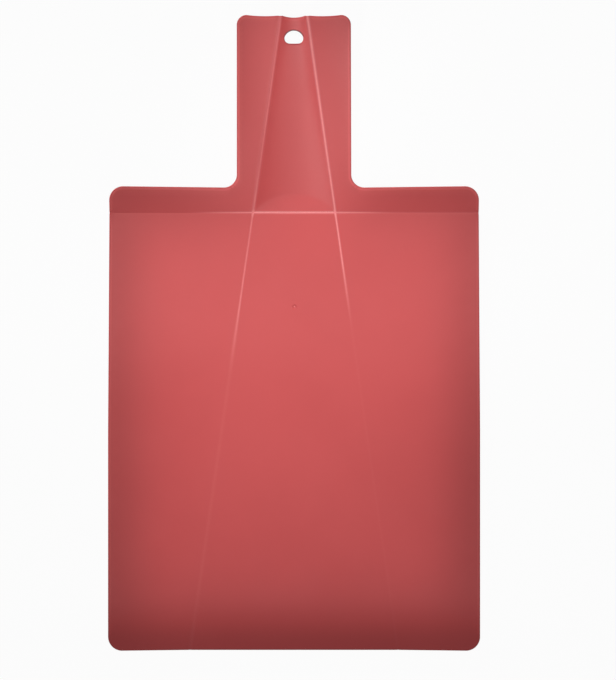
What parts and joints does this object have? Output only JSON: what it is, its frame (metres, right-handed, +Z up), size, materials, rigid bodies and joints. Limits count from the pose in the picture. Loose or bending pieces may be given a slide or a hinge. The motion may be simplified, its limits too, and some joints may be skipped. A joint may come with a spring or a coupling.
{
  "type": "folding chopping board",
  "caption": "Flat chopping board with a raised handle and hanging hole, moulded in one sheet whose film hinges let the sides fold up into a chute as the handle is squeezed.",
  "frame": {"origin": "middle of the footprint seen from above, on the surface that the board lies on", "axes": "+Y from the front edge towards the handle's end, +Z up out of the cutting surface, +X to the right as seen from the front edge"},
  "size_m": [0.27, 0.457, 0.034],
  "materials": {
    "board_sheet": "red polypropylene with a fine satin grain",
    "hinge_film": "the same polypropylene, thin and paler where it bends"
  },
  "bodies": {
    "floor": {"floor_panel": "board_sheet", "left_floor_film": "hinge_film", "right_floor_film": "hinge_film", "centre_rear_film": "hinge_film"},
    "left_wing": {"left_wing": "board_sheet", "left_rear_film": "hinge_film"},
    "right_wing": {"right_wing": "board_sheet", "right_rear_film": "hinge_film"},
    "handle": {"handle_spine": "board_sheet", "left_handle_film": "hinge_film", "right_handle_film": "hinge_film"},
    "left_grip": {"left_grip": "board_sheet", "left_root_web": "board_sheet"},
    "right_grip": {"right_grip": "board_sheet", "right_root_web": "board_sheet"},
    "left_shoulder": {"left_shoulder": "board_sheet"},
    "right_shoulder": {"right_shoulder": "board_sheet"}
  },
  "joints": [
    {"name": "left_wing_fold", "type": "hinge", "parent": "floor", "child": "left_wing", "pos_m": [-0.0299, 0.08899, 0.00185], "axis": [0.1418, 0.9899, 0], "range_deg": [0, 70], "deforming": ["left_floor_film"]},
    {"name": "right_wing_fold", "type": "hinge", "parent": "floor", "child": "right_wing", "pos_m": [0.0299, 0.08899, 0.00185], "axis": [0.1418, -0.9899, 0], "range_deg": [0, 70], "deforming": ["right_floor_film"]},
    {"name": "handle_tilt", "type": "hinge", "parent": "floor", "child": "handle", "pos_m": [0, 0.08899, 0.00185], "axis": [1, 0, 0], "range_deg": [-12, 0], "deforming": ["centre_rear_film"]},
    {"name": "left_grip_fold", "type": "hinge", "parent": "handle", "child": "left_grip", "pos_m": [-0.0299, 0.08899, 0.00185], "axis": [0.1418, 0.9683, 0.2058], "range_deg": [0, 70], "deforming": ["left_handle_film", "left_root_web"]},
    {"name": "right_grip_fold", "type": "hinge", "parent": "handle", "child": "right_grip", "pos_m": [0.0299, 0.08899, 0.00185], "axis": [0.1418, -0.9683, -0.2058], "range_deg": [0, 70], "deforming": ["right_handle_film", "right_root_web"]},
    {"name": "left_shoulder_tilt", "type": "hinge", "parent": "left_wing", "child": "left_shoulder", "pos_m": [-0.08, 0.08899, 0.00185], "axis": [1, 0, 0], "range_deg": [-12, 0], "deforming": ["left_rear_film"]},
    {"name": "right_shoulder_tilt", "type": "hinge", "parent": "right_wing", "child": "right_shoulder", "pos_m": [0.08, 0.08899, 0.00185], "axis": [1, 0, 0], "range_deg": [-12, 0], "deforming": ["right_rear_film"]}
  ],
  "couplings": [
    {"joint": "right_wing_fold", "follows": "left_wing_fold", "ratio": 1},
    {"joint": "left_grip_fold", "follows": "left_wing_fold", "ratio": 1},
    {"joint": "right_grip_fold", "follows": "left_wing_fold", "ratio": 1},
    {"joint": "handle_tilt", "follows": "left_wing_fold", "ratio": -0.17143},
    {"joint": "left_shoulder_tilt", "follows": "left_wing_fold", "ratio": -0.17143},
    {"joint": "right_shoulder_tilt", "follows": "left_wing_fold", "ratio": -0.17143}
  ]
}
